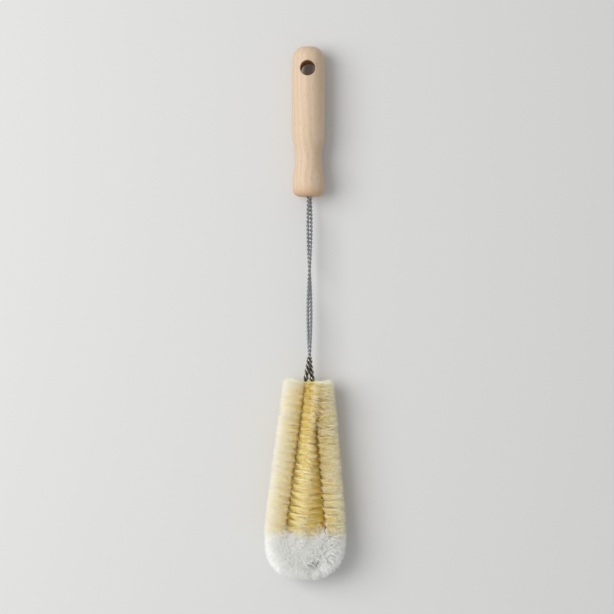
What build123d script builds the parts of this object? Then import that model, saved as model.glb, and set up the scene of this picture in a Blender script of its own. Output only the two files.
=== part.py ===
"""Bottle brush lying at rest: a turned beech handle, two twisted steel wires and their bristles.

Millimetres. X is across the brush, Y runs from the bristles to the handle, Z is up. The pieces are
drawn about the stem's own line, with Y = 0 where the stem leaves the handle, and are laid on Z = 0
at the end.
"""

import os
from math import atan2, cos, degrees, pi, sin, tan

from build123d import *

# Handle, turned from one piece of beech, with its collar and waist placed from the stem end
handle_length = 109.6
handle_radius = 12.0
collar_radius = 11.5
collar_rounding = 5.2
collar_length = 11.0
waist_radius = 9.6
waist_height = 27.5
barrel_start = 48.0
tail_taper_inset = 22.0
tail_dome_inset = 8.0
tail_dome_radius = 11.4
tail_flat_radius = 5.0

# Hanging hole through the tail of the handle, which is turned a little on the stem
hanging_hole_radius = 5.5
hanging_hole_inset = 16.4
hanging_hole_edge = 0.5
handle_roll_deg = -2.5

# Two steel wires, laid together left-handed as one strand with the fibres between them in the head
wire_radius = 0.55
wire_gap = 0.02
fibre_layer = 0.5
stem_lay = 5.9
head_lay = 10.4

# Stem: the strand is folded in two and its halves are wound round each other right-handed
stem_pitch = 129.0
stem_offset = 0.8
stem_in_handle = 36.0
stem_below_handle = 118.0
bore_clearance = 0.15
bore_spare_depth = 1.0

# Route of the folded strand in the head, measured from the stem's last crossing
crotch_length = 17.5
leg_spread = 2.5
bend_half_width = 14.2
shoulder_drop = 125.5
bend_drop = 146.8
shoulder_radius = 60.0
bend_radius = 8.7
head_lean_deg = 1.25

# Bristles
bristle_radius = 16.0
ridge_depth = 0.9
rows_of_fibre = 2
tip_drop = 129.0
wire_clearance = 0.2
bristle_gap = 0.3
bristle_press = 1.2

# Flats along and around the wires and the ridged bristles
wire_sides = 6
wire_steps_per_turn = 6
bristle_sides = 16
bristle_steps_per_turn = 8

# Sizes that follow from those above
strand_offset = (wire_radius + wire_gap / 2) / cos(pi / wire_steps_per_turn)
strand_radius = strand_offset + wire_radius
head_strand_offset = strand_offset + fibre_layer / 2
head_strand_radius = head_strand_offset + wire_radius
stem_radius = strand_radius + wire_gap
bore_radius = stem_radius + strand_radius + bore_clearance
leg_angle = atan2(bend_half_width - leg_spread, shoulder_drop - crotch_length)
stem_length = stem_in_handle + stem_below_handle
side_length = stem_length + crotch_length
barrel_end = handle_length - tail_taper_inset
head_place = Location((stem_offset, -stem_below_handle, 0), (0, 0, -head_lean_deg))
up = Vector(0, 0, 1)


def ogee(start, end):
    """Two equal arcs that swing from one radius of the handle to another, upright at both ends."""
    middle = ((start[0] + end[0]) / 2, (start[1] + end[1]) / 2)
    return [TangentArc(start, middle, tangent=(0, 1)), TangentArc(end, middle, tangent=(0, -1))]


def handle():
    """Handle with its hanging hole and the blind bore that holds the stem."""
    collar_face = (collar_radius - collar_rounding, 0)
    collar_edge = (collar_radius, collar_rounding)
    collar_top = (collar_radius, collar_length)
    waist = (waist_radius, waist_height)
    barrel_foot = (handle_radius, barrel_start)
    barrel_head = (handle_radius, barrel_end)
    dome_foot = (tail_dome_radius, handle_length - tail_dome_inset)
    tail = (tail_flat_radius, handle_length)
    taper = (tail_dome_radius - handle_radius, tail_taper_inset - tail_dome_inset)
    outline = [
        Line((0, 0), collar_face),
        TangentArc(collar_face, collar_edge, tangent=(1, 0)),
        Line(collar_edge, collar_top),
        *ogee(collar_top, waist),
        *ogee(waist, barrel_foot),
        Line(barrel_foot, barrel_head),
        Line(barrel_head, dome_foot),
        TangentArc(dome_foot, tail, tangent=taper),
        Line(tail, (0, handle_length)),
        Line((0, handle_length), (0, 0)),
    ]
    body = revolve(make_face(outline), Axis.Y)
    body -= hole_place() * Cylinder(hanging_hole_radius, 4 * handle_radius)
    hole_wall = body.faces().filter_by(GeomType.CYLINDER).sort_by(lambda face: face.radius)[0]
    body = chamfer(hole_wall.edges().filter_by(GeomType.LINE, reverse=True), hanging_hole_edge)
    bore_mouth = Plane.XZ * Pos(stem_offset, 0) * Circle(bore_radius)
    body -= extrude(bore_mouth, -stem_in_handle - bore_spare_depth)
    return body


def hole_place():
    """Centre of the hanging hole, with Z along the hole."""
    return Pos(0, handle_length - hanging_hole_inset, 0) * Rot(0, handle_roll_deg, 0)


def head_route():
    """Centre line of the strand in the head: down the left leg, round the bend and up the right."""
    corners = [
        (-leg_spread, -crotch_length),
        (-bend_half_width, -shoulder_drop),
        (-bend_half_width, -bend_drop),
        (bend_half_width, -bend_drop),
        (bend_half_width, -shoulder_drop),
        (leg_spread, -crotch_length),
    ]
    return FilletPolyline(*corners, radius=[shoulder_radius, bend_radius, bend_radius, shoulder_radius])


route = head_route()
strand_length = 2 * side_length + route.length


def stem_point(side, along):
    """Centre of one half of the strand (side -1 left, 1 right) at a length from its end in the handle."""
    drop = along - stem_length
    if drop <= 0:
        turn = 2 * pi * drop / stem_pitch
        across = side * stem_radius * sin(turn)
        return Vector(stem_offset + across, -stem_below_handle - drop, -side * stem_radius * cos(turn))
    share = drop / crotch_length
    first_slope = crotch_length * stem_radius * 2 * pi / stem_pitch
    last_slope = crotch_length * tan(leg_angle)
    across = first_slope * share * (1 - share) ** 2
    across += leg_spread * share**2 * (3 - 2 * share)
    across -= last_slope * share**2 * (1 - share)
    height = stem_radius * (1 + cos(pi * share**2)) / 2
    return (head_place * Pos(side * across, -drop, -side * height)).position


def strand_point(along):
    """Centre of the strand at a length along it, from its left end in the handle to its right end."""
    if along < side_length:
        return stem_point(-1, along)
    if along > strand_length - side_length:
        return stem_point(1, strand_length - along)
    in_head = route.position_at(along - side_length, position_mode=PositionMode.LENGTH)
    return (head_place * Pos(in_head)).position


def lay_at(along):
    """Offset of the wires from the strand's centre, and the length of one turn, at a length along it."""
    drop = min(along, strand_length - along) - stem_length
    share = min(max(drop / crotch_length, 0), 1)
    offset = strand_offset + share * (head_strand_offset - strand_offset)
    return offset, stem_lay + share * (head_lay - stem_lay)


def ring(centre, first, second, reaches):
    """Closed outline round a centre, with its corners at even angles and at the given reaches."""
    corners = []
    for corner, reach in enumerate(reaches):
        angle = 2 * pi * corner / len(reaches)
        corners.append(centre + first * reach * cos(angle) + second * reach * sin(angle))
    return Wire.make_polygon(corners)


def wire_ring(along, lay_angle):
    """Outline of one wire, square to the wire, at a length along the strand."""
    before = strand_point(max(along - wire_radius, 0))
    after = strand_point(min(along + wire_radius, strand_length))
    tangent = (after - before).normalized()
    outward = (up - tangent * tangent.Z).normalized()
    across = outward.cross(tangent)
    offset, lay = lay_at(along)
    centre = strand_point(along) + (outward * cos(lay_angle) + across * sin(lay_angle)) * offset
    swing = across * cos(lay_angle) - outward * sin(lay_angle)
    direction = (tangent + swing * (2 * pi * offset / lay)).normalized()
    first = (outward - direction * direction.dot(outward)).normalized()
    return ring(centre, first, first.cross(direction), [wire_radius] * wire_sides)


def wire(lay_angle):
    """One of the two wires, wound round the strand's centre line from one end to the other."""
    rings = []
    along = 0
    while along < strand_length:
        rings.append(wire_ring(along, lay_angle))
        along += lay_at(along)[1] / wire_steps_per_turn
        lay_angle += 2 * pi / wire_steps_per_turn
    return Solid.make_loft(rings, ruled=True)


def strand_channel():
    """Space that the strand takes up inside the bristles, all along the head."""
    start = Plane(origin=route @ 0, z_dir=route % 0)
    return sweep(start * Circle(head_strand_radius + wire_clearance), path=route)


def leg_bristles(side):
    """Round body of bristles about one leg, ridged along the rows of fibre that screw round the leg."""
    top = Vector(side * leg_spread, -crotch_length)
    down_leg = Vector(side * sin(leg_angle), -cos(leg_angle))
    across = up.cross(down_leg)
    full_length = (tip_drop - crotch_length) / cos(leg_angle) + bristle_radius * tan(leg_angle)
    step = head_lay / bristle_steps_per_turn
    rings = []
    for count in range(int(full_length / step) + 2):
        lay_angle = 2 * pi * count / bristle_steps_per_turn
        reaches = []
        for corner in range(bristle_sides):
            off_row = rows_of_fibre * (2 * pi * corner / bristle_sides - lay_angle)
            reaches.append(bristle_radius - ridge_depth * (1 - cos(off_row)) / 2)
        rings.append(ring(top + down_leg * step * count, up, across, reaches))
    return Solid.make_loft(rings, ruled=True)


def tip_bristles():
    """Body of the bend's bristles, which stand out all round the bend and fill its inside."""
    corner_x = bend_half_width - bend_radius
    corner_y = bend_radius - bend_drop
    section = RegularPolygon(bristle_radius, bristle_sides)
    section_past_centre = split(Pos(bend_radius, 0) * section, bisect_by=Plane.YZ)
    body = Pos(0, -bend_drop, 0) * extrude(Plane.YZ * section, corner_x, both=True)
    for side, first_turn in ((-1, 180), (1, -90)):
        corner = Rot(0, 0, first_turn) * revolve(Plane.XZ * section_past_centre, Axis.Z, 90)
        leg = extrude(Plane.XZ * section, -2 * bristle_radius)
        body += Pos(side * corner_x, corner_y, 0) * corner
        body += Pos(side * bend_half_width, corner_y, 0) * leg
    return body


def trimmed(body, low, high):
    """Bristles cut to the room between two corners and to the surface that they are pressed on."""
    middle = Pos((low[0] + high[0]) / 2, (low[1] + high[1]) / 2, 0)
    room = middle * Box(high[0] - low[0], high[1] - low[1], 4 * bristle_radius)
    room = split(head_rest * room, bisect_by=Plane.XY)
    return (head_rest * body & room) - head_rest * strand_channel()


def rest_place(body):
    """Place in which the brush lies on Z = 0, on the handle's tail and on bristles pressed flat."""
    rise = bristle_radius - bristle_press - handle_radius
    reach = barrel_end + stem_below_handle + bend_drop - bend_radius
    tilt = Rot(-degrees(atan2(rise, reach)), 0, 0)
    return Pos(0, 0, -(tilt * body).bounding_box().min.Z) * tilt


handle_body = handle()
rest = rest_place(handle_body)
head_rest = rest * head_place
side_reach = bend_half_width + 2 * bristle_radius
bristles_left = trimmed(leg_bristles(-1), (-side_reach, bristle_gap - tip_drop), (-bristle_gap / 2, 0))
bristles_right = trimmed(leg_bristles(1), (bristle_gap / 2, bristle_gap - tip_drop), (side_reach, 0))
tip_reach = bend_drop + 2 * bristle_radius
bristles_tip = trimmed(tip_bristles(), (-side_reach, -tip_reach), (side_reach, -tip_drop))

parts = {
    "handle": rest * handle_body,
    "wire_a": rest * wire(0),
    "wire_b": rest * wire(pi),
    "bristles_left": bristles_left,
    "bristles_right": bristles_right,
    "bristles_tip": bristles_tip,
}

# The origin is under the middle of the box round the handle and the bristles, which hold the wires
boxes = [piece.bounding_box() for name, piece in parts.items() if not name.startswith("wire")]
middle_x = (min(box.min.X for box in boxes) + max(box.max.X for box in boxes)) / 2
middle_y = (min(box.min.Y for box in boxes) + max(box.max.Y for box in boxes)) / 2
centred = Pos(-middle_x, -middle_y, 0)

os.makedirs("parts", exist_ok=True)
for name, piece in parts.items():
    export_step(centred * piece, f"parts/{name}.step")

hole = Plane(centred * rest * hole_place())
print("hanging hole at", hole.origin, "along", hole.z_dir)
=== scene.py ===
"""Bottle brush: twisted wires, single hairs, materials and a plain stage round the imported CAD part.

Metres, in the part's own frame: X across the brush, Y from the bristles to the handle, Z up. Values
in capitals are in millimetres where a comment gives no other unit, and so are lengths along the
strand. Those under "Line of the strand" repeat the part's own sizes, so that the wires and hairs
made here lie where its solids do.
"""

from math import ceil, cos, pi, radians, sin
from typing import NamedTuple

import bpy
import numpy as np
from bpy.props import FloatProperty, FloatVectorProperty, IntProperty, PointerProperty
from mathutils import Matrix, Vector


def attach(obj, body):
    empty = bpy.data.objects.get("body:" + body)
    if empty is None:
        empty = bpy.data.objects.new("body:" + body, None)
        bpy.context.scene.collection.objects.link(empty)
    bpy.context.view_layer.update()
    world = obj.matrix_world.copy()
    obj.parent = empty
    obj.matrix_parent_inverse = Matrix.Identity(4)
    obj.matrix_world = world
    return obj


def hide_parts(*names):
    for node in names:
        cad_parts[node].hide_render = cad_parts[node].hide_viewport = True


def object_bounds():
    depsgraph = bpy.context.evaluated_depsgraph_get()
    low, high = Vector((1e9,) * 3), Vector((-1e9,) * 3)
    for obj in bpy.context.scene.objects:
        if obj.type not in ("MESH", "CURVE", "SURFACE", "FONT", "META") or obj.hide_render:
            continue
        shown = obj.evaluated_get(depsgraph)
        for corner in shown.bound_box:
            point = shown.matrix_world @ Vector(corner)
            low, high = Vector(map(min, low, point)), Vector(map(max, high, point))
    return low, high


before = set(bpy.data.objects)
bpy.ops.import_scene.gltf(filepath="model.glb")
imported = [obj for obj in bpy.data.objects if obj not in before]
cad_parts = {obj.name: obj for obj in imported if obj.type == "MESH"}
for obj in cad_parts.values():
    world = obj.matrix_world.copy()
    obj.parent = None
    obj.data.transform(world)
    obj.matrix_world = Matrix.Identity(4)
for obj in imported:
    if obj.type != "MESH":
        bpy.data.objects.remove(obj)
cad_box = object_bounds()

bl_info = {
    "name": "Bottle brush",
    "version": (1, 0, 0),
    "blender": (4, 5, 0),
    "location": "3D View > Sidebar > Bottle brush",
    "description": "Twisted wires, bristles, materials and stage for a bottle brush",
    "category": "Object",
}

MM = 0.001

# Line of the strand: the wound stem, then the legs and the bend between them. The tilt at rest and
# the head's lean are in degrees.
STEM_FACE = (1.96966, 85.6201, 12.7101)
REST_TILT = 0.46675
WIRE_GAP = 0.02
FIBRE_LAYER = 0.5
STEM_LAY = 5.9
HEAD_LAY = 10.4
STEM_PITCH = 129.0
STEM_OFFSET = 0.8
STEM_RADIUS = 1.217
STEM_IN_HANDLE = 36.0
STEM_BELOW_HANDLE = 118.0
CROTCH_LENGTH = 17.5
LEG_SPREAD = 2.5
BEND_HALF_WIDTH = 14.2
SHOULDER_DROP = 125.5
BEND_DROP = 146.8
SHOULDER_RADIUS = 60.0
BEND_RADIUS = 8.7
HEAD_LEAN = 1.25
TIP_DROP = 129.0

# Middle and direction of the hanging hole
HOLE_PLACE = (1.96966, 178.817, 11.9509)
HOLE_AXIS = (-0.0436, 0.0081, 0.999)

# Points to a millimetre of the strand's line, corners in a turn of the CAD wires, points in a turn
# of the round ones, and how finely their tubes are rounded
LINE_DENSITY = 5
CAD_WIRE_CORNERS = 6
WIRE_STEPS = 16
TUBE_ROUNDING = 3

# Beech: spacing of its growth rings across the handle, sizes of its ray flecks and of the sanded
# grain, and how far each is drawn out along the handle, where 1 is not at all and less is more
RING_SPACING = 5.2
RING_DRAWING = 0.05
FLECK_SIZE = 0.7
FLECK_DRAWING = 0.16
GRAIN_SIZE = 0.5
GRAIN_DRAWING = 0.05
GRAIN_DEPTH = 0.05
# Stretch of the handle's Y over which it warms towards the stem, and distances from the hole's axis
# between which the painted shade inside the hanging hole fades in
WARM_FROM, WARM_TO = 94, 86
BORE_SHADE_FROM, BORE_SHADE_TO = 5.9, 5.6

# Sizes of the dull spots on the steel and of the patches of deeper painted shade on the shorn hairs
DULL_SPOT = 1.5
SHADE_PATCH = 0.8
# What the dull spots keep of the steel's colour, and what the white hairs' roots keep of theirs under
# painted shade
DULL_SHARE = 0.72
ROOT_SHADE_SHARE = 0.98
# What light from inside a pale hair keeps of red, green and blue, and how far it comes
HAIR_GLOW = (1, 0.9, 0.6)
HAIR_GLOW_REACH = 0.04

# A hair is a cone of three sides. It is cut at these shares of its length and widened there by
# these factors, so that it tapers slowly and ends nearly blunt, as cut hair does.
HAIR_SIDES = 3
HAIR_CUTS = ((0.5, 1.9), (0.93, 5.6))
# Most hairs in one piece
HAIRS_A_PIECE = 12000
# Widths of the hairs and shift of their tone, by chance, as shares
WIDTH_SHARES = (0.8, 1.1)
TONE_SCATTER = 0.1
# Height of the hair ends over the floor at the least, and how far they stay under the top of the
# CAD part, each by chance between two values
FLOOR_LIFT = (0.1, 0.8)
TOP_TRIM = (-0.6, 0.8)
# Tufts whose hairs lean alike: their length along the strand and their number round it
TUFT_LENGTH = 0.9
TUFTS_AROUND = 24

# Yellow hairs leave the wires within this many radians of straight out, and then fan out to this
# share of a quarter turn, with this scatter
LEAVING_FAN = 0.4
FAN = 0.95
FAN_SCATTER = 0.1
# Power that lets fewer of them stand than lie, and the least rise between the legs, in radians
STANDING_POWER = 1.6
LEAST_RISE = 0.2
# Their reach as shares of their length: at full, what chance takes off and with what power, and
# the most upwards
FULL_REACH = 1.05
REACH_SCATTER = 0.28
REACH_POWER = 1.5
HIGHEST_REACH = 0.97
# How much of the gap between the legs they cross, as a factor of half the gap and by chance
GAP_CROSSED = 1.82
GAP_SHARES = (0.6, 1)
# How far the outer ones are drawn in at a leg's free end, and over what length that fades
DRAWN_IN = 2.2
DRAWN_IN_OVER = 12
# A hair's own shift against that of its tuft, how far it strays in any direction and further along
# the strand, and how far it keeps clear of the wires
TUFT_LOOSENESS = 0.8
STRAY = 0.5
STRAY_ALONG = 0.7
CLEAR_OF_WIRES = (1.8, 3.0)
# Where their middles lie, as shares of their reach the way they leave and of the way to their tips,
# and how far they stray
MIDDLE_LEAVING = 0.3
MIDDLE_ONWARD = 0.2
MIDDLE_STRAY = 0.15
# Share of a tuft's upward lean that also shifts its tone, so that raised tufts are lighter and sunk
# ones a deeper gold: painted light and shade
TUFT_LIGHT_TONE = 0.28

# White hairs part at this share of the bend, from the left leg to the right one, and the parting
# fades over this share of the way to the legs
PARTING_SHARE = 0.6
PARTING_WIDTH = 0.2
# In the parting, hairs lie flatter by this share, and those inside the bend go across by this one
PARTING_FLATNESS = 0.45
PARTING_CROSSING = 0.45
# Hairs inside the bend arch over it towards a seam: power of the seam's run from the parting, how
# far they go, as shares of the way to it, and how much the furthest ones sink
SEAM_POWER = 0.7
SEAM_CROSSING = (0.8, 1.9)
SEAM_SINK = 0.35
# Lean away from the parting, as shares of the length: everywhere and in the parting, and the share
# of the way to the legs at which it is full
LEAN = 0.1
PARTING_LEAN = 0.25
FULL_LEAN_AWAY = 0.1
# How far single white hairs stray: lying, more when standing, and the share that parting takes off
WHITE_STRAY = 1
WHITE_STRAY_STANDING = 4
WHITE_STRAY_PARTED = 0.9
# Looseness and lean of the tufts everywhere, and of the clumps round the parting
WHITE_TUFT_LOOSENESS = 0.9
WHITE_TUFT_LEAN = 0.4
CLUMP_LOOSENESS = 0.3
CLUMP_LEAN = 1.6
# Reach as a share of the length, what chance takes off it, and the most for hairs that arch
WHITE_REACH = 1.02
WHITE_REACH_SCATTER = 0.05
WHITE_LONGEST_ARCH = 1.3
# Where their middles lie: out by a share of the length, on by a share of the lean, and back over
# the bend and across each other by radians. The parting takes a share off the last, and all stray.
WHITE_MIDDLE = 0.72
WHITE_MIDDLE_LEAN = 0.4
WHITE_MIDDLE_ARCH = 0.5
WHITE_MIDDLE_SCATTER = 0.45
WHITE_MIDDLE_PARTED = 0.8
WHITE_MIDDLE_STRAY = 0.5

# Shorn hairs: lengths, widening, scatter of their angle in radians, and how far they stray
STUB_LENGTHS = (1.2, 2.2)
STUB_WIDENING = 1.4
STUB_SCATTER = 0.3
STUB_STRAY = 0.25

# Seeds of chance, one for each group of hairs
SEEDS = {"left": 1, "right": 2, "white": 3, "shorn": 5}

# Stage, in metres: size of the floor, half the stretch over which its tone changes, which is painted
# shade, place and size of the key light, and place of the camera
FLOOR_SIZE = 6
FLOOR_FADE = 0.24
KEY_PLACE = (-1.16, 0.28, 1.28)
KEY_SIZE = 1.3
CAMERA_PLACE = (0.95 * MM, 4.7 * MM)
# Strength of the surroundings where the camera or a shiny surface sees them
SEEN_SKY = 0.8
# Light goes from hair to hair many times before it leaves pale bristles
DIFFUSE_BOUNCES = 12

# Sockets of a Mix node that mixes colours: its share, the two colours and the result
SHARE, FIRST, SECOND, MIXED = 0, 6, 7, 2


class Stance(NamedTuple):
    """How the yellow hairs stand on one side of their leg."""

    rise: float  # Greatest angle from level, in radians
    reach: float  # Reach and greatest length, as shares of the hairs' length
    longest: float
    tuft: float  # Lean of the tufts, in millimetres
    tone: float  # Shift along the hair's change of tone; the deeper gold between the legs is painted shade and bounce light


OUTSIDE = Stance(rise=1.5, reach=1.0, longest=1.05, tuft=1.2, tone=0.0)
# Painted shade and bounce light: hairs between the legs shift towards the deeper gold of the roots
BETWEEN = Stance(rise=1.05, reach=1.25, longest=1.3, tuft=0.7, tone=-0.75)


class Leg(NamedTuple):
    """One leg of the head and what is its own about its hairs."""

    side: str
    free_end: float  # Lengths along the strand at which its yellow hairs end
    bend_end: float
    length: float  # Length of its hairs, in metres
    past: float  # Least room for the inner ones, even past the other leg, in metres
    painted_light_tone: float  # Shift of their tone, painted light: lighter for the leg that catches more light, darker for the other


def linear(code):
    """Linear colour of an sRGB hex code such as "E8CFA6"."""
    channels = [int(code[start : start + 2], 16) / 255 for start in (0, 2, 4)]
    return [c / 12.92 if c <= 0.04045 else ((c + 0.055) / 1.055) ** 2.4 for c in channels]


def colour_property(name, description, code):
    """Colour that a user can change, with an sRGB hex code as its default."""
    return FloatVectorProperty(
        name=name,
        description=description,
        subtype="COLOR",
        size=3,
        min=0,
        max=1,
        default=linear(code),
    )


def length_property(name, description, millimetres):
    """Length that a user can change."""
    return FloatProperty(
        name=name, description=description, default=millimetres * MM, unit="LENGTH"
    )


def count_property(name, description, count):
    """Number of hairs that a user can change."""
    return IntProperty(name=name, description=description, default=count, min=1)


class HandleSettings(bpy.types.PropertyGroup):
    """Finish of the turned handle."""

    wood: colour_property("Wood", "Colour of the beech between its growth rings", "D6BEA4")
    ring: colour_property("Growth ring", "Colour of the denser wood of a growth ring", "D0B699")
    fleck: colour_property("Ray fleck", "Colour of the small rays that mark beech", "B89471")
    # Painted shade: this colour darkens the wood inside the hanging hole, for the shade in it
    bore_shade: colour_property("Bore", "Colour of the wood inside the hanging hole", "AD865C")
    stem_end: colour_property("Stem end", "Colour of the wood near the stem", "C8A27C")


class WireSettings(bpy.types.PropertyGroup):
    """Size and finish of the two wires."""

    radius: length_property("Wire radius", "Radius of one steel wire", 0.55)
    steel: colour_property("Steel", "Colour of the drawn steel wire", "A2A6A8")


class BristleSettings(bpy.types.PropertyGroup):
    """Sizes, numbers and colours of the hairs."""

    left_length: length_property("Left length", "Length of the left leg's hairs", 16.6)
    right_length: length_property("Right length", "Length of the right leg's hairs", 15.8)
    tip_length: length_property("Tip length", "Length of the white hairs", 16.0)
    width: length_property("Hair width", "Width of a yellow hair at its root", 0.17)
    tip_width: length_property("White hair width", "Width of a white hair at its root", 0.2)
    leg_count: count_property("Hairs of a leg", "Hairs on each leg", 19000)
    tip_count: count_property("White hairs", "Hairs on the bend", 18000)
    stub_count: count_property("Shorn hairs", "Hairs cut off short", 2500)
    # Painted shade and bounce light: the root colour is a deeper gold than the hair's own, for the
    # shade and the golden light that the hairs throw on each other deep at the wires
    root: colour_property("Root", "Colour of a yellow hair at the wires", "FEEC9E")
    tip: colour_property("Tip", "Colour of a yellow hair at its end", "FEFAEC")
    white: colour_property("White", "Colour of the white hairs", "FEFEFC")
    # Painted shade: both colours of the shorn hairs are dark olive brown for the shade between the
    # wires, the first deeper
    in_deep_shade: colour_property("Shade", "Colour of a shorn hair where it is stained", "524D38")
    shorn: colour_property("Shorn", "Colour of a shorn hair elsewhere", "8A7F5A")


class StageSettings(bpy.types.PropertyGroup):
    """Floor, light and camera."""

    # Painted shade: the far floor is a little darker than the near one
    near: colour_property("Near floor", "Colour of the floor at the bristles' end", "DCDCDB")
    far: colour_property("Far floor", "Colour of the floor at the handle's end", "D9D9D8")
    key_power: FloatProperty(
        name="Key light",
        description="Power of the large light from the left",
        default=24.0,
        unit="POWER",
    )
    fill: FloatProperty(
        name="Fill", description="Strength of the light from all round", default=0.49
    )
    camera_height: length_property("Camera height", "Height of the camera", 1463.0)
    camera_lens: FloatProperty(
        name="Lens", description="Focal length in millimetres", default=116.0
    )


class BrushSettings(bpy.types.PropertyGroup):
    """All that a user would change on the brush."""

    handle: PointerProperty(type=HandleSettings)
    wire: PointerProperty(type=WireSettings)
    bristles: PointerProperty(type=BristleSettings)
    stage: PointerProperty(type=StageSettings)


def settings():
    """Settings of this brush."""
    return bpy.context.scene.bottle_brush


def add_node(tree, kind, inputs=None, **options):
    """Adds a node, sets its options, and gives its inputs values or links to others' sockets."""
    node = tree.nodes.new(kind)
    for name, value in options.items():
        setattr(node, name, value)
    for key, value in (inputs or {}).items():
        if isinstance(value, bpy.types.NodeSocket):
            tree.links.new(value, node.inputs[key])
        else:
            node.inputs[key].default_value = value
    return node


def new_material(name, **constants):
    """Material with one principled shader, whose constants are set on its own sockets."""
    material = bpy.data.materials.new(name)
    material.use_nodes = True
    tree = material.node_tree
    shader = tree.nodes["Principled BSDF"]
    for key, value in constants.items():
        shader.inputs[key.replace("_", " ")].default_value = value
    return material, tree, shader


def beech_material():
    """Beech, turned, sanded and left bare: dull, pale and pinkish, with faint growth rings along the
    handle, the small darker flecks of its rays, and a warmer tone towards the stem. Inside the
    hanging hole the wood is darker, which is painted shade."""
    handle = settings().handle
    material, tree, shader = new_material("beech_turned_and_sanded", Roughness=0.6)
    place = add_node(tree, "ShaderNodeTexCoord").outputs["Object"]
    # Growth rings, from diagonal bands, which a scale of 1 puts a fifth of pi apart along an axis
    ring_place = add_node(
        tree, "ShaderNodeMapping", {"Vector": place, "Scale": (1, RING_DRAWING, 1)}
    )
    rings = add_node(
        tree,
        "ShaderNodeTexWave",
        {
            "Vector": ring_place.outputs[0],
            "Scale": pi / 5 / (RING_SPACING * MM),
            "Distortion": 5,
            "Detail": 3,
        },
        bands_direction="DIAGONAL",
    )
    ringed = add_node(
        tree,
        "ShaderNodeMix",
        {SHARE: rings.outputs["Fac"], FIRST: (*handle.wood, 1), SECOND: (*handle.ring, 1)},
        data_type="RGBA",
    )
    # Ray flecks, which show as the tops of a noise
    fleck_place = add_node(
        tree, "ShaderNodeMapping", {"Vector": place, "Scale": (1, FLECK_DRAWING, 1)}
    )
    flecks = add_node(
        tree,
        "ShaderNodeTexNoise",
        {"Vector": fleck_place.outputs[0], "Scale": 1 / (FLECK_SIZE * MM), "Detail": 1},
    )
    fleck_share = add_node(
        tree,
        "ShaderNodeMapRange",
        {"Value": flecks.outputs["Fac"], "From Min": 0.6, "From Max": 0.75, "To Max": 0.55},
    )
    flecked = add_node(
        tree,
        "ShaderNodeMix",
        {SHARE: fleck_share.outputs[0], FIRST: ringed.outputs[MIXED], SECOND: (*handle.fleck, 1)},
        data_type="RGBA",
    )
    # The tone warms towards the end at the stem
    height = add_node(tree, "ShaderNodeSeparateXYZ", {"Vector": place}).outputs["Y"]
    warmth = add_node(
        tree,
        "ShaderNodeMapRange",
        {"Value": height, "From Min": WARM_FROM * MM, "From Max": WARM_TO * MM, "To Max": 0.9},
    )
    warmed = add_node(
        tree,
        "ShaderNodeMix",
        {SHARE: warmth.outputs[0], FIRST: flecked.outputs[MIXED], SECOND: (*handle.stem_end, 1)},
        data_type="RGBA",
    )
    # Painted shade: the wood inside the drilled hanging hole is darker, for the shade in it
    from_hole = add_node(
        tree,
        "ShaderNodeVectorMath",
        {0: place, 1: [coordinate * MM for coordinate in HOLE_PLACE]},
        operation="SUBTRACT",
    )
    across_hole = add_node(
        tree,
        "ShaderNodeVectorMath",
        {0: from_hole.outputs[0], 1: HOLE_AXIS},
        operation="CROSS_PRODUCT",
    )
    from_axis = add_node(
        tree, "ShaderNodeVectorMath", {0: across_hole.outputs[0]}, operation="LENGTH"
    )
    bore_shade_share = add_node(
        tree,
        "ShaderNodeMapRange",
        {
            "Value": from_axis.outputs["Value"],
            "From Min": BORE_SHADE_FROM * MM,
            "From Max": BORE_SHADE_TO * MM,
            "To Max": 0.9,
        },
    )
    colour = add_node(
        tree,
        "ShaderNodeMix",
        {SHARE: bore_shade_share.outputs[0], FIRST: warmed.outputs[MIXED], SECOND: (*handle.bore_shade, 1)},
        data_type="RGBA",
    )
    tree.links.new(colour.outputs[MIXED], shader.inputs["Base Color"])
    # Fine grain left by the sanding
    grain_place = add_node(
        tree, "ShaderNodeMapping", {"Vector": place, "Scale": (1, GRAIN_DRAWING, 1)}
    )
    grain = add_node(
        tree,
        "ShaderNodeTexNoise",
        {"Vector": grain_place.outputs[0], "Scale": 1 / (GRAIN_SIZE * MM), "Detail": 3},
    )
    bump = add_node(
        tree,
        "ShaderNodeBump",
        {"Height": grain.outputs["Fac"], "Distance": GRAIN_DEPTH * MM, "Strength": 0.5},
    )
    tree.links.new(bump.outputs[0], shader.inputs["Normal"])
    return material


def steel_material():
    """Steel wire, drawn and bright: grey metal with sharp lights, duller in spots from handling."""
    wire = settings().wire
    material, tree, shader = new_material("steel_wire_drawn", Metallic=1.0)
    place = add_node(tree, "ShaderNodeTexCoord").outputs["Object"]
    dulling = add_node(
        tree,
        "ShaderNodeTexNoise",
        {"Vector": place, "Scale": 1 / (DULL_SPOT * MM), "Detail": 3},
    )
    dulled = [DULL_SHARE * channel for channel in wire.steel]
    colour = add_node(
        tree,
        "ShaderNodeMix",
        {SHARE: dulling.outputs["Fac"], FIRST: (*wire.steel, 1), SECOND: (*dulled, 1)},
        data_type="RGBA",
    )
    tree.links.new(colour.outputs[MIXED], shader.inputs["Base Color"])
    rough = add_node(
        tree,
        "ShaderNodeMapRange",
        {"Value": dulling.outputs["Fac"], "To Min": 0.14, "To Max": 0.3},
    )
    tree.links.new(rough.outputs[0], shader.inputs["Roughness"])
    return material


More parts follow.
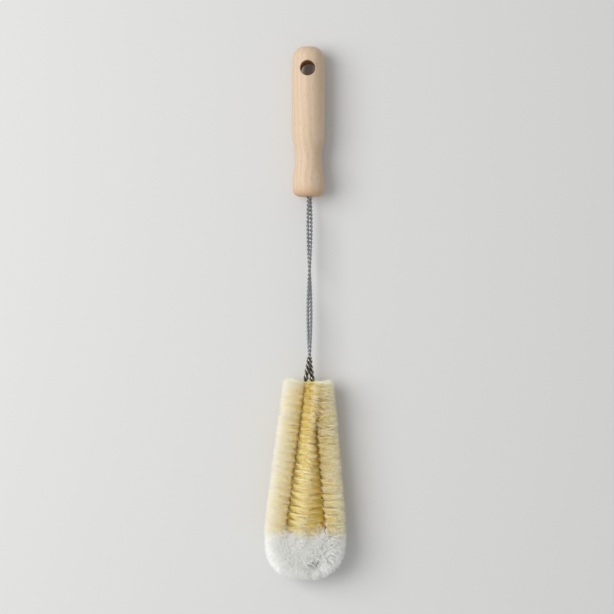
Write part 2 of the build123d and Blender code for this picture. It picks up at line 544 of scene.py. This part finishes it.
def yellow_hair_material():
    """Natural bristle, boiled, cut and combed: a little translucent and pale golden, lightening to
    each split end. The deeper gold towards the wires is painted shade and the golden light that the
    hairs throw on each other there."""
    bristles = settings().bristles
    material, tree, shader = new_material(
        "natural_bristle_cut",
        Roughness=0.5,
        Subsurface_Weight=1.0,
        Subsurface_Radius=HAIR_GLOW,
        Subsurface_Scale=HAIR_GLOW_REACH * MM,
    )
    along = add_node(tree, "ShaderNodeAttribute", attribute_name="along_hair").outputs["Fac"]
    colour = add_node(
        tree,
        "ShaderNodeMix",
        {SHARE: along, FIRST: (*bristles.root, 1), SECOND: (*bristles.tip, 1)},
        data_type="RGBA",
    )
    tree.links.new(colour.outputs[MIXED], shader.inputs["Base Color"])
    return material


def white_hair_material():
    """White synthetic fibre, drawn and cut: smooth and clean, with a soft shine, and a little painted
    shade at the roots.
    """
    bristles = settings().bristles
    material, tree, shader = new_material("white_fibre_drawn", Roughness=0.45)
    along = add_node(tree, "ShaderNodeAttribute", attribute_name="along_hair").outputs["Fac"]
    # Painted shade: the roots are a little darker than the rest of the hair
    shaded_root = [ROOT_SHADE_SHARE * channel for channel in bristles.white]
    colour = add_node(
        tree,
        "ShaderNodeMix",
        {SHARE: along, FIRST: (*shaded_root, 1), SECOND: (*bristles.white, 1)},
        data_type="RGBA",
    )
    tree.links.new(colour.outputs[MIXED], shader.inputs["Base Color"])
    return material


def stub_material():
    """Natural bristle, shorn off: dull, and dark olive brown in patches of two depths, which is
    painted shade between the wires where the stubs stand.
    """
    bristles = settings().bristles
    material, tree, shader = new_material("natural_bristle_shorn", Roughness=0.8)
    place = add_node(tree, "ShaderNodeTexCoord").outputs["Object"]
    shade_patches = add_node(tree, "ShaderNodeTexNoise", {"Vector": place, "Scale": 1 / (SHADE_PATCH * MM)})
    colour = add_node(
        tree,
        "ShaderNodeMix",
        {
            SHARE: shade_patches.outputs["Fac"],
            FIRST: (*bristles.in_deep_shade, 1),
            SECOND: (*bristles.shorn, 1),
        },
        data_type="RGBA",
    )
    tree.links.new(colour.outputs[MIXED], shader.inputs["Base Color"])
    return material


def board_material():
    """Board, painted matt: even and pale, and a little darker towards the handle, which is painted
    shade.
    """
    stage = settings().stage
    material, tree, shader = new_material("board_painted_matt", Roughness=0.9)
    place = add_node(tree, "ShaderNodeTexCoord").outputs["Object"]
    height = add_node(tree, "ShaderNodeSeparateXYZ", {"Vector": place}).outputs["Y"]
    share = add_node(
        tree,
        "ShaderNodeMapRange",
        {"Value": height, "From Min": -FLOOR_FADE, "From Max": FLOOR_FADE},
    )
    colour = add_node(
        tree,
        "ShaderNodeMix",
        {SHARE: share.outputs[0], FIRST: (*stage.near, 1), SECOND: (*stage.far, 1)},
        data_type="RGBA",
    )
    tree.links.new(colour.outputs[MIXED], shader.inputs["Base Color"])
    return material


def rest_place():
    """Place of the stem's own line in the part's frame, with the brush lying on its bristles."""
    return Matrix.Translation(STEM_FACE) @ Matrix.Rotation(-radians(REST_TILT), 4, "X")


def head_place():
    """Place of the head's own line on the stem, under its last crossing."""
    lean = Matrix.Rotation(-radians(HEAD_LEAN), 4, "Z")
    return Matrix.Translation((STEM_OFFSET, -STEM_BELOW_HANDLE, 0)) @ lean


def head_route():
    """Line of the strand in the head, in millimetres: down the left leg, round the bend and up the
    right leg, with an arc at each corner."""
    corners = [
        (-LEG_SPREAD, -CROTCH_LENGTH),
        (-BEND_HALF_WIDTH, -SHOULDER_DROP),
        (-BEND_HALF_WIDTH, -BEND_DROP),
        (BEND_HALF_WIDTH, -BEND_DROP),
        (BEND_HALF_WIDTH, -SHOULDER_DROP),
        (LEG_SPREAD, -CROTCH_LENGTH),
    ]
    corners = [np.array(corner) for corner in corners]
    points = [corners[0]]
    radii = (SHOULDER_RADIUS, BEND_RADIUS, BEND_RADIUS, SHOULDER_RADIUS)
    for before, corner, after, radius in zip(corners, corners[1:], corners[2:], radii):
        into = (corner - before) / np.linalg.norm(corner - before)
        out = (after - corner) / np.linalg.norm(after - corner)
        turn = np.arccos(into @ out)
        inward = (out - into) / np.linalg.norm(out - into)
        onward = (into + out) / np.linalg.norm(into + out)
        centre = corner + inward * radius / cos(turn / 2)
        for angle in np.linspace(-turn / 2, turn / 2, 2 + int(radius * turn * LINE_DENSITY)):
            points.append(centre - inward * radius * cos(angle) + onward * radius * sin(angle))
    points.append(corners[-1])
    return np.array(points)


def moved(points, place):
    """Points after a move by a matrix."""
    matrix = np.array(place)
    return points @ matrix[:3, :3].T + matrix[:3, 3]


def stem_half(side, drop):
    """Line of one half of the stem (side -1 left, 1 right) over its drop below the last crossing:
    a helix above the crossing, and below it a cubic curve that parts into the leg."""
    turn = 2 * pi * drop / STEM_PITCH
    wound = np.stack(
        [
            STEM_OFFSET + side * STEM_RADIUS * np.sin(turn),
            -STEM_BELOW_HANDLE - drop,
            -side * STEM_RADIUS * np.cos(turn),
        ],
        axis=1,
    )
    share = np.clip(drop / CROTCH_LENGTH, 0, 1)
    leg_slope = (BEND_HALF_WIDTH - LEG_SPREAD) / (SHOULDER_DROP - CROTCH_LENGTH)
    across = CROTCH_LENGTH * STEM_RADIUS * 2 * pi / STEM_PITCH * share * (1 - share) ** 2
    across += LEG_SPREAD * share**2 * (3 - 2 * share)
    across -= CROTCH_LENGTH * leg_slope * share**2 * (1 - share)
    height = STEM_RADIUS * (1 + np.cos(pi * share**2)) / 2
    parting = moved(np.stack([side * across, -drop, -side * height], axis=1), head_place())
    return np.where(drop[:, None] <= 0, wound, parting)


class Strand:
    """Line of the folded strand from its left end in the handle to its right one: at each length
    along it, the point, the directions onward, up and across, and the angle and offset of its
    wires."""

    def __init__(self):
        route = head_route()
        steps = np.linalg.norm(np.diff(route, axis=0), axis=1)
        in_route = np.concatenate([[0], np.cumsum(steps)])
        self.side_length = STEM_IN_HANDLE + STEM_BELOW_HANDLE + CROTCH_LENGTH
        self.length = 2 * self.side_length + in_route[-1]
        self.along = np.linspace(0, self.length, int(self.length * LINE_DENSITY))
        from_end = np.minimum(self.along, self.length - self.along)
        drop = from_end - STEM_IN_HANDLE - STEM_BELOW_HANDLE
        in_head = self.along - self.side_length
        flat = [np.interp(in_head, in_route, route[:, axis]) for axis in (0, 1)]
        self.half_gap = np.abs(flat[0]) * MM
        self.head_y = np.where(drop > CROTCH_LENGTH, flat[1], -drop)
        head = moved(np.stack([*flat, np.zeros_like(in_head)], axis=1), head_place())
        stem = stem_half(np.where(self.along < self.length / 2, -1, 1), drop)
        line = np.where(drop[:, None] > CROTCH_LENGTH, head, stem)
        self.points = moved(line, rest_place()) * MM
        self.tangent = np.gradient(self.points, axis=0)
        self.tangent /= np.linalg.norm(self.tangent, axis=1)[:, None]
        upright = np.array([0, 0, 1]) - self.tangent * self.tangent[:, 2:]
        self.upright = upright / np.linalg.norm(upright, axis=1)[:, None]
        self.across = np.cross(self.upright, self.tangent)
        share = np.clip(drop / CROTCH_LENGTH, 0, 1)
        lay = STEM_LAY + share * (HEAD_LAY - STEM_LAY)
        turns = np.diff(self.along) / ((lay[1:] + lay[:-1]) / 2)
        self.angle = 2 * pi * np.concatenate([[0], np.cumsum(turns)])
        touching = (settings().wire.radius + WIRE_GAP * MM / 2) / cos(pi / CAD_WIRE_CORNERS)
        self.offset = touching + share * FIBRE_LAYER * MM / 2

    def at(self, values, along):
        """Values of the strand, such as its points, at the given lengths along it."""
        if values.ndim == 1:
            return np.interp(along, self.along, values)
        return np.stack([np.interp(along, self.along, column) for column in values.T], axis=1)

    def place(self, along):
        """Points, tangents, directions up and across, and wire angles at the given lengths."""
        vectors = (self.points, self.tangent, self.upright, self.across, self.angle)
        return [self.at(values, along) for values in vectors]

    def reach_of_tip(self):
        """Lengths along the strand at which the white hairs start and end."""
        white = self.along[self.head_y < -TIP_DROP]
        return white[0], white[-1]


def deselect_all():
    """Clears the selection, in which the import leaves the CAD nodes."""
    bpy.ops.object.select_all(action="DESELECT")


def dress(piece, material, slot, *nodes):
    """Gives a piece its material, hangs it from the root body, and hides its CAD nodes, so that it
    shows in their place. The slot is not used.
    """
    piece.data.materials.clear()
    piece.data.materials.append(material)
    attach(piece, "root")
    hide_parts(*nodes)


def make_wire(strand, name, first_angle):
    """One wire, laid round the strand's line, as a round tube with closed ends."""
    whole_angle = strand.angle[-1]
    angles = np.linspace(0, whole_angle, int(whole_angle / (2 * pi) * WIRE_STEPS))
    along = np.interp(angles, strand.angle, strand.along)
    points, _, upright, across, _ = strand.place(along)
    offset = strand.at(strand.offset, along)[:, None]
    centres = points + direction(upright, across, angles + first_angle) * offset
    curve = bpy.data.curves.new(name, "CURVE")
    curve.dimensions = "3D"
    curve.bevel_depth = settings().wire.radius
    curve.bevel_resolution = TUBE_ROUNDING
    curve.use_fill_caps = True
    spline = curve.splines.new("POLY")
    spline.points.add(len(centres) - 1)
    spline.points.foreach_set("co", np.column_stack([centres, np.ones(len(centres))]).ravel())
    tube = bpy.data.objects.new(name, curve)
    bpy.context.collection.objects.link(tube)
    deselect_all()
    tube.select_set(True)
    bpy.context.view_layer.objects.active = tube
    bpy.ops.object.convert(target="MESH")
    bpy.ops.object.shade_smooth()
    return bpy.context.view_layer.objects.active


def hair_template():
    """One hair, 1 long and 1 wide at its root, as its points and its faces."""
    deselect_all()
    bpy.ops.mesh.primitive_cone_add(
        vertices=HAIR_SIDES, radius1=0.5, radius2=0, depth=1, location=(0, 0, 0.5)
    )
    bpy.ops.object.transform_apply(location=True)
    cone = bpy.context.view_layer.objects.active
    bpy.ops.object.mode_set(mode="EDIT")
    for height, widening in HAIR_CUTS:
        bpy.ops.mesh.select_all(action="SELECT")
        bpy.ops.mesh.bisect(plane_co=(0, 0, height), plane_no=(0, 0, 1))
        bpy.ops.transform.resize(
            value=(widening, widening, 1), center_override=(0, 0, height)
        )
    bpy.ops.object.mode_set(mode="OBJECT")
    points = np.array([vertex.co for vertex in cone.data.vertices])
    faces = [list(face.vertices) for face in cone.data.polygons]
    bpy.data.objects.remove(cone)
    return points, faces


def make_hairs(name, roots, middles, tips, width, tones, template):
    """Many copies of the template in one mesh. Each is bent through its own root, middle and tip, and
    carries how far along the hair each point is, shifted by the hair's tone, which for the yellow
    hairs holds painted light and shade."""
    shape, faces = template
    count = len(roots)
    up_hair = shape[:, 2][None, :, None]
    root, middle, tip = [ends[:, None, :] for ends in (roots, middles, tips)]
    bend = root * (1 - up_hair) ** 2 + middle * 2 * up_hair * (1 - up_hair) + tip * up_hair**2
    chord = tips - roots
    chord /= np.linalg.norm(chord, axis=1)[:, None]
    # Each hair's sides are turned about its chord from Y, or from X where the chord is near Y
    helper = np.where(np.abs(chord[:, 1:2]) < 0.8, [[0.0, 1.0, 0.0]], [[1.0, 0.0, 0.0]])
    first = np.cross(helper, chord)
    first /= np.linalg.norm(first, axis=1)[:, None]
    second = np.cross(chord, first)
    girth = shape[None, :, 0:1] * first[:, None, :] + shape[None, :, 1:2] * second[:, None, :]
    points = bend + girth * width[:, None, None]
    corners = np.concatenate([np.array(face) for face in faces])
    loops = (corners[None, :] + np.arange(count)[:, None] * len(shape)).ravel()
    sizes = np.tile([len(face) for face in faces], count)
    starts = np.concatenate([[0], np.cumsum(sizes)[:-1]])
    mesh = bpy.data.meshes.new(name)
    mesh.vertices.add(count * len(shape))
    mesh.vertices.foreach_set("co", points.astype(np.float32).ravel())
    mesh.loops.add(len(loops))
    mesh.loops.foreach_set("vertex_index", loops.astype(np.int32))
    mesh.polygons.add(len(sizes))
    mesh.polygons.foreach_set("loop_start", starts.astype(np.int32))
    mesh.update(calc_edges=True)
    mesh.validate()
    tone = mesh.attributes.new("along_hair", "FLOAT", "POINT")
    shade = np.clip(shape[None, :, 2] + tones[:, None], 0, 1)
    tone.data.foreach_set("value", shade.astype(np.float32).ravel())
    mesh.shade_flat()
    hairs = bpy.data.objects.new(name, mesh)
    bpy.context.collection.objects.link(hairs)
    return hairs


def add_hairs(name, path, width, tones, material, slot, *nodes):
    """Makes the hairs with the given roots, middles and tips, in as many meshes as they need."""
    template = hair_template()
    count = len(width)
    parts = ceil(count / HAIRS_A_PIECE)
    for number, chosen in enumerate(np.array_split(np.arange(count), parts), 1):
        points = [ends[chosen] for ends in path]
        hairs = make_hairs(f"{name}_{number}", *points, width[chosen], tones[chosen], template)
        dress(hairs, material, slot, *nodes)


def direction(upright, across, angle):
    """Directions at the given angles from upright towards across."""
    return upright * np.cos(angle)[:, None] + across * np.sin(angle)[:, None]


def spread(start, end, count, dice):
    """Lengths along the strand at which that many hairs grow, evenly but for chance."""
    return start + (end - start) * (np.arange(count) + dice.random(count)) / count


def tufts(along, angle, dice, looseness):
    """Shift of each hair with the tuft that it stands in: hairs close together lean alike."""
    around = (angle / (2 * pi) * TUFTS_AROUND).astype(int) % TUFTS_AROUND
    tuft = (along / TUFT_LENGTH).astype(int) * TUFTS_AROUND + around
    shifts = dice.normal(0, 1, (tuft.max() + 1, 3))
    own = dice.normal(0, looseness, (len(along), 3))
    return (shifts[tuft] + own) / (1 + looseness**2) ** 0.5


def no_longer(hairs, longest):
    """Hairs, as vectors from root to tip, shortened to their longest lengths."""
    lengths = np.linalg.norm(hairs, axis=1)
    return hairs * np.minimum(1, longest / lengths)[:, None]


def trimmed(points, dice):
    """Points pressed back between the surface that the brush lies on and its trimmed top."""
    low = dice.uniform(*FLOOR_LIFT, len(points)) * MM
    high = cad_box[1][2] - dice.uniform(*TOP_TRIM, len(points)) * MM
    pressed = points.copy()
    pressed[:, 2] = np.clip(pressed[:, 2], low, high)
    return pressed


def leg_hairs(strand, leg, dice):
    """Roots, middles and tips of one leg's yellow hairs, with their widths and tones."""
    bristles = settings().bristles
    count = bristles.leg_count
    along = spread(*sorted((leg.free_end, leg.bend_end)), count, dice)
    roots, tangent, upright, across, wire_angle = strand.place(along)
    # Hairs leave between the wires, to both sides, and fan out more once they are clear of them
    fan = dice.uniform(-FAN, FAN, count) + dice.normal(0, FAN_SCATTER, count)
    way = wire_angle + pi / 2 + pi * dice.integers(0, 2, count)
    leaving = direction(upright, across, way + LEAVING_FAN * fan)
    angle = (way + pi / 2 * fan + pi) % (2 * pi) - pi
    # Fewer stand straight up than lie level, and those between the legs lie flat over each other
    inside = angle > 0
    level = 1 - np.abs(angle) / (pi / 2)
    steep = np.sign(level) * np.abs(level) ** STANDING_POWER
    rise = steep * np.where(inside, BETWEEN.rise, OUTSIDE.rise)
    rise = np.where(inside & (level > 0), LEAST_RISE + (1 - LEAST_RISE) * rise, rise)
    cut_off = REACH_SCATTER * dice.random(count) ** REACH_POWER
    reach = leg.length * (FULL_REACH - cut_off) * np.where(inside, BETWEEN.reach, OUTSIDE.reach)
    height = np.clip(reach * np.sin(rise), None, HIGHEST_REACH * leg.length)
    out = reach * np.cos(rise)
    # Few of them go past the other leg's wires
    room = np.maximum(strand.at(strand.half_gap, along) * GAP_CROSSED, leg.past)
    room = room * dice.uniform(*GAP_SHARES, count)
    out = np.where(inside, np.minimum(out, room), -out)
    up = upright * height[:, None]
    over = across * out[:, None]
    # The outer hairs at the free end of the leg are drawn in to a level edge
    fading = np.exp(-np.abs(along - leg.free_end) / DRAWN_IN_OVER)
    drawn_in = np.sign(leg.bend_end - leg.free_end) * DRAWN_IN * MM * fading * ~inside
    tuft = tufts(along, way, dice, TUFT_LOOSENESS)
    lean = np.where(inside, BETWEEN.tuft, OUTSIDE.tuft)
    stray = dice.normal(0, STRAY * MM, (count, 3)) + tuft * lean[:, None] * MM
    stray += tangent * (dice.normal(0, STRAY_ALONG * MM, count) + drawn_in)[:, None]
    hairs = over + up + stray
    # None of them hangs over the wires, which show at the bottom of a narrow groove
    towards = np.where(inside, 1, -1)
    beside = towards * np.sum(hairs * across, axis=1)
    clear = dice.uniform(*CLEAR_OF_WIRES, count) * MM
    aside = np.clip(clear - beside, 0, None) * (height > 0)
    hairs += across * (towards * aside)[:, None]
    hairs = no_longer(hairs, leg.length * np.where(inside, BETWEEN.longest, OUTSIDE.longest))
    tips = trimmed(roots + hairs, dice)
    middles = roots + leaving * (reach * MIDDLE_LEAVING)[:, None] + (over + up) * MIDDLE_ONWARD
    middles = trimmed(middles + dice.normal(0, MIDDLE_STRAY * MM, (count, 3)), dice)
    width = bristles.width * dice.uniform(*WIDTH_SHARES, count)
    # Tone differs at random, and holds painted light and shade: lighter for raised tufts and for the
    # leg that catches more light, a deeper gold between the legs
    tones = dice.normal(0, TONE_SCATTER, count) + tuft[:, 2] * TUFT_LIGHT_TONE + leg.painted_light_tone
    tones += np.where(inside, BETWEEN.tone, OUTSIDE.tone)
    return (roots, middles, tips), width, tones


def bend_hairs(strand, dice):
    """Roots, middles and tips of the bend's white hairs, with their widths and tones."""
    bristles = settings().bristles
    count = bristles.tip_count
    start, end = strand.reach_of_tip()
    along = spread(start, end, count, dice)
    roots, tangent, upright, across, _ = strand.place(along)
    angle = dice.uniform(-pi, pi, count)
    cut_off = np.abs(dice.normal(0, WHITE_REACH_SCATTER, count))
    length = bristles.tip_length * (WHITE_REACH - cut_off)
    # Hairs part at one spot on the bend, and lean away from it to both sides
    parting = start + (end - start) * PARTING_SHARE
    side = np.sign(along - parting)
    away = np.abs(along - parting) / np.where(side > 0, end - parting, parting - start)
    # Those that point into the bend are crowded there, and arch over it up to a seam
    spot = strand.at(strand.points, np.array([parting]))[0]
    seam_top = (roots[0] + roots[-1]) / 2
    seam_top[0] = spot[0]
    seam = spot + (seam_top - spot) * np.clip(away, 0, 1)[:, None] ** SEAM_POWER
    inside = np.clip((np.abs(angle) - pi / 2) / (pi / 2), 0, 1)
    # Round the parting they lie flatter, so that the wires show at the bottom of a small pit
    parted = np.exp(-((away / PARTING_WIDTH) ** 2))
    flatter = angle * (1 - PARTING_FLATNESS * parted)
    angle = np.where((angle > 0) & (inside == 0), flatter, angle)
    lean = side * (LEAN + PARTING_LEAN * parted) * np.clip(away / FULL_LEAN_AWAY, 0, 1)
    lean = lean * (1 - away) * (1 - inside) * np.abs(np.sin(angle))
    inside = np.where(inside > 0, inside + (1 - inside) * PARTING_CROSSING * parted, 0)
    crossing = inside * dice.uniform(*SEAM_CROSSING, count)
    to_seam = (seam - roots) * [1, 1, 0] * crossing[:, None]
    out = -across * (np.clip(np.cos(angle), 0, 1) * length)[:, None] + to_seam
    standing = np.where(inside > 0, 1 - SEAM_SINK * inside**2, np.abs(np.sin(angle)))
    height = np.sign(angle) * standing
    rise = upright * (height * length)[:, None]
    stroke = tangent * (lean * length)[:, None]
    loose = WHITE_STRAY_STANDING * np.abs(height) * (1 - WHITE_STRAY_PARTED * parted)
    stray = across * dice.normal(0, 1, (count, 1)) + tangent * dice.normal(0, 1, (count, 1))
    stray = stray * (WHITE_STRAY + loose)[:, None] * MM
    stray += tufts(along, angle, dice, WHITE_TUFT_LOOSENESS) * WHITE_TUFT_LEAN * MM
    # Clumps, twice as long as tufts, stand out most round the parting
    clump_lean = (CLUMP_LEAN * parted * (inside == 0))[:, None] * MM
    stray += tufts(along / 2, angle, dice, CLUMP_LOOSENESS) * clump_lean
    longest = length * np.where(inside > 0, WHITE_LONGEST_ARCH, WHITE_REACH)
    tips = trimmed(roots + no_longer(out + rise + stroke + stray, longest), dice)
    # They leave the wires in all directions, and cross each other over them
    arched = np.sign(angle) * (pi / 2 + WHITE_MIDDLE_ARCH * inside)
    leaving = np.where(inside > 0, arched, angle)
    crossed = dice.normal(0, WHITE_MIDDLE_SCATTER, count) * (1 - WHITE_MIDDLE_PARTED * parted)
    middles = direction(upright, -across, pi / 2 - (leaving + crossed))
    middles = middles * (length * WHITE_MIDDLE)[:, None] + stroke * WHITE_MIDDLE_LEAN
    scattered = roots + middles + dice.normal(0, WHITE_MIDDLE_STRAY * MM, (count, 3))
    middles = trimmed(scattered, dice)
    width = bristles.tip_width * dice.uniform(*WIDTH_SHARES, count)
    tones = dice.normal(0, TONE_SCATTER, count)
    return (roots, middles, tips), width, tones


def shorn_hairs(strand, dice):
    """Roots, middles and tips of the stubs above the head, with their widths and tones."""
    bristles = settings().bristles
    count = bristles.stub_count
    along = spread(strand.side_length - CROTCH_LENGTH, strand.side_length, count, dice)
    along = np.where(dice.random(count) < 0.5, strand.length - along, along)
    roots, tangent, upright, across, wire_angle = strand.place(along)
    way = wire_angle + pi / 2 + pi * dice.integers(0, 2, count)
    outward = direction(upright, across, way + dice.normal(0, STUB_SCATTER, count))
    reach = dice.uniform(*STUB_LENGTHS, count)[:, None] * MM
    stray = tangent * dice.normal(0, STUB_STRAY * MM, count)[:, None]
    tips = roots + outward * reach + stray
    width = np.full(count, bristles.width * STUB_WIDENING)
    return (roots, (roots + tips) / 2, tips), width, np.zeros(count)


class BRUSH_OT_handle(bpy.types.Operator):
    """Gives the turned handle its bare beech"""

    bl_idname = "bottle_brush.handle"
    bl_label = "Finish the handle"

    def execute(self, context):
        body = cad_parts["handle"]
        body.data.materials.clear()
        body.data.materials.append(beech_material())
        return {"FINISHED"}


class BRUSH_OT_wires(bpy.types.Operator):
    """Lays the two round wires of the stem and the head"""

    bl_idname = "bottle_brush.wires"
    bl_label = "Lay the wires"

    def execute(self, context):
        strand = Strand()
        material = steel_material()
        for name, node, angle in (("wire_front", "wire_a", 0), ("wire_back", "wire_b", pi)):
            dress(make_wire(strand, name, angle), material, "steel_wire", node)
        return {"FINISHED"}


class BRUSH_OT_yellow_hairs(bpy.types.Operator):
    """Sets the yellow hairs of the two legs"""

    bl_idname = "bottle_brush.yellow_hairs"
    bl_label = "Set the yellow hairs"

    def execute(self, context):
        bristles = settings().bristles
        strand = Strand()
        material = yellow_hair_material()
        tip_start, tip_end = strand.reach_of_tip()
        left_end, right_end = strand.side_length, strand.length - strand.side_length
        # The left leg's hairs lie over the top of the right leg, and catch more light
        legs = (
            Leg("left", left_end, tip_start, bristles.left_length, past=12 * MM, painted_light_tone=0.35),
            Leg("right", right_end, tip_end, bristles.right_length, past=0, painted_light_tone=-0.15),
        )
        for leg in legs:
            hairs = leg_hairs(strand, leg, np.random.default_rng(SEEDS[leg.side]))
            name = f"yellow_hairs_{leg.side}"
            add_hairs(name, *hairs, material, "yellow_bristle", f"bristles_{leg.side}")
        return {"FINISHED"}


class BRUSH_OT_white_hairs(bpy.types.Operator):
    """Sets the white hairs of the bend"""

    bl_idname = "bottle_brush.white_hairs"
    bl_label = "Set the white hairs"

    def execute(self, context):
        hairs = bend_hairs(Strand(), np.random.default_rng(SEEDS["white"]))
        add_hairs("white_hairs", *hairs, white_hair_material(), "white_bristle", "bristles_tip")
        return {"FINISHED"}


class BRUSH_OT_shorn_hairs(bpy.types.Operator):
    """Sets the short stubs of hair between the wires above the head"""

    bl_idname = "bottle_brush.shorn_hairs"
    bl_label = "Set the shorn hairs"

    def execute(self, context):
        hairs = shorn_hairs(Strand(), np.random.default_rng(SEEDS["shorn"]))
        add_hairs("shorn_hairs", *hairs, stub_material(), "yellow_bristle")
        return {"FINISHED"}


class BRUSH_OT_stage(bpy.types.Operator):
    """Makes the floor, the light and the camera"""

    bl_idname = "bottle_brush.stage"
    bl_label = "Set the stage"

    def execute(self, context):
        stage = settings().stage
        deselect_all()
        bpy.ops.mesh.primitive_plane_add(size=FLOOR_SIZE)
        floor = bpy.context.view_layer.objects.active
        floor.name = "floor"
        floor.data.materials.append(board_material())

        bpy.ops.object.light_add(type="AREA", location=KEY_PLACE)
        key = bpy.context.view_layer.objects.active
        key.name = "key_light"
        key.data.energy = stage.key_power
        key.data.shape = "SQUARE"
        key.data.size = KEY_SIZE
        key.rotation_euler = (-key.location).to_track_quat("-Z", "Y").to_euler()

        # The surroundings light the brush softly, and look brighter than they light it
        world = bpy.data.worlds.new("soft_room")
        context.scene.world = world
        world.use_nodes = True
        sky = world.node_tree
        background = sky.nodes["Background"]
        background.inputs["Color"].default_value = (1, 1, 1, 1)
        path = add_node(sky, "ShaderNodeLightPath")
        seen = add_node(
            sky,
            "ShaderNodeMath",
            {0: path.outputs["Is Camera Ray"], 1: path.outputs["Is Glossy Ray"]},
            operation="MAXIMUM",
        )
        strength = add_node(
            sky,
            "ShaderNodeMapRange",
            {"Value": seen.outputs[0], "To Min": stage.fill, "To Max": SEEN_SKY},
        )
        sky.links.new(strength.outputs[0], background.inputs["Strength"])

        bpy.ops.object.camera_add(
            location=(*CAMERA_PLACE, stage.camera_height), rotation=(0, 0, 0)
        )
        camera = bpy.context.view_layer.objects.active
        camera.data.lens = stage.camera_lens
        context.scene.camera = camera
        context.scene.cycles.diffuse_bounces = DIFFUSE_BOUNCES
        context.scene.view_settings.view_transform = "Standard"
        return {"FINISHED"}


class BRUSH_PT_panel(bpy.types.Panel):
    """Panel with the settings of the brush and the steps that dress it"""

    bl_idname = "BRUSH_PT_panel"
    bl_label = "Bottle brush"
    bl_space_type = "VIEW_3D"
    bl_region_type = "UI"
    bl_category = "Bottle brush"

    def draw(self, context):
        for group_name in ("handle", "wire", "bristles", "stage"):
            group = getattr(context.scene.bottle_brush, group_name)
            box = self.layout.box()
            box.label(text=group_name.capitalize())
            for name in group.__annotations__:
                box.prop(group, name)
        for operator in OPERATORS:
            self.layout.operator(operator.bl_idname)


OPERATORS = (
    BRUSH_OT_handle,
    BRUSH_OT_wires,
    BRUSH_OT_yellow_hairs,
    BRUSH_OT_white_hairs,
    BRUSH_OT_shorn_hairs,
    BRUSH_OT_stage,
)
GROUPS = (HandleSettings, WireSettings, BristleSettings, StageSettings, BrushSettings)
CLASSES = (*GROUPS, *OPERATORS, BRUSH_PT_panel)


def register():
    """Makes the settings, operators and panel known."""
    for added in CLASSES:
        bpy.utils.register_class(added)
    bpy.types.Scene.bottle_brush = PointerProperty(type=BrushSettings)


def unregister():
    """Takes them away again."""
    del bpy.types.Scene.bottle_brush
    for added in reversed(CLASSES):
        bpy.utils.unregister_class(added)


def main():
    """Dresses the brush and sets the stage."""
    register()
    bpy.ops.bottle_brush.handle()
    bpy.ops.bottle_brush.wires()
    bpy.ops.bottle_brush.yellow_hairs()
    bpy.ops.bottle_brush.white_hairs()
    bpy.ops.bottle_brush.shorn_hairs()
    bpy.ops.bottle_brush.stage()


if __name__ == "__main__":
    main()
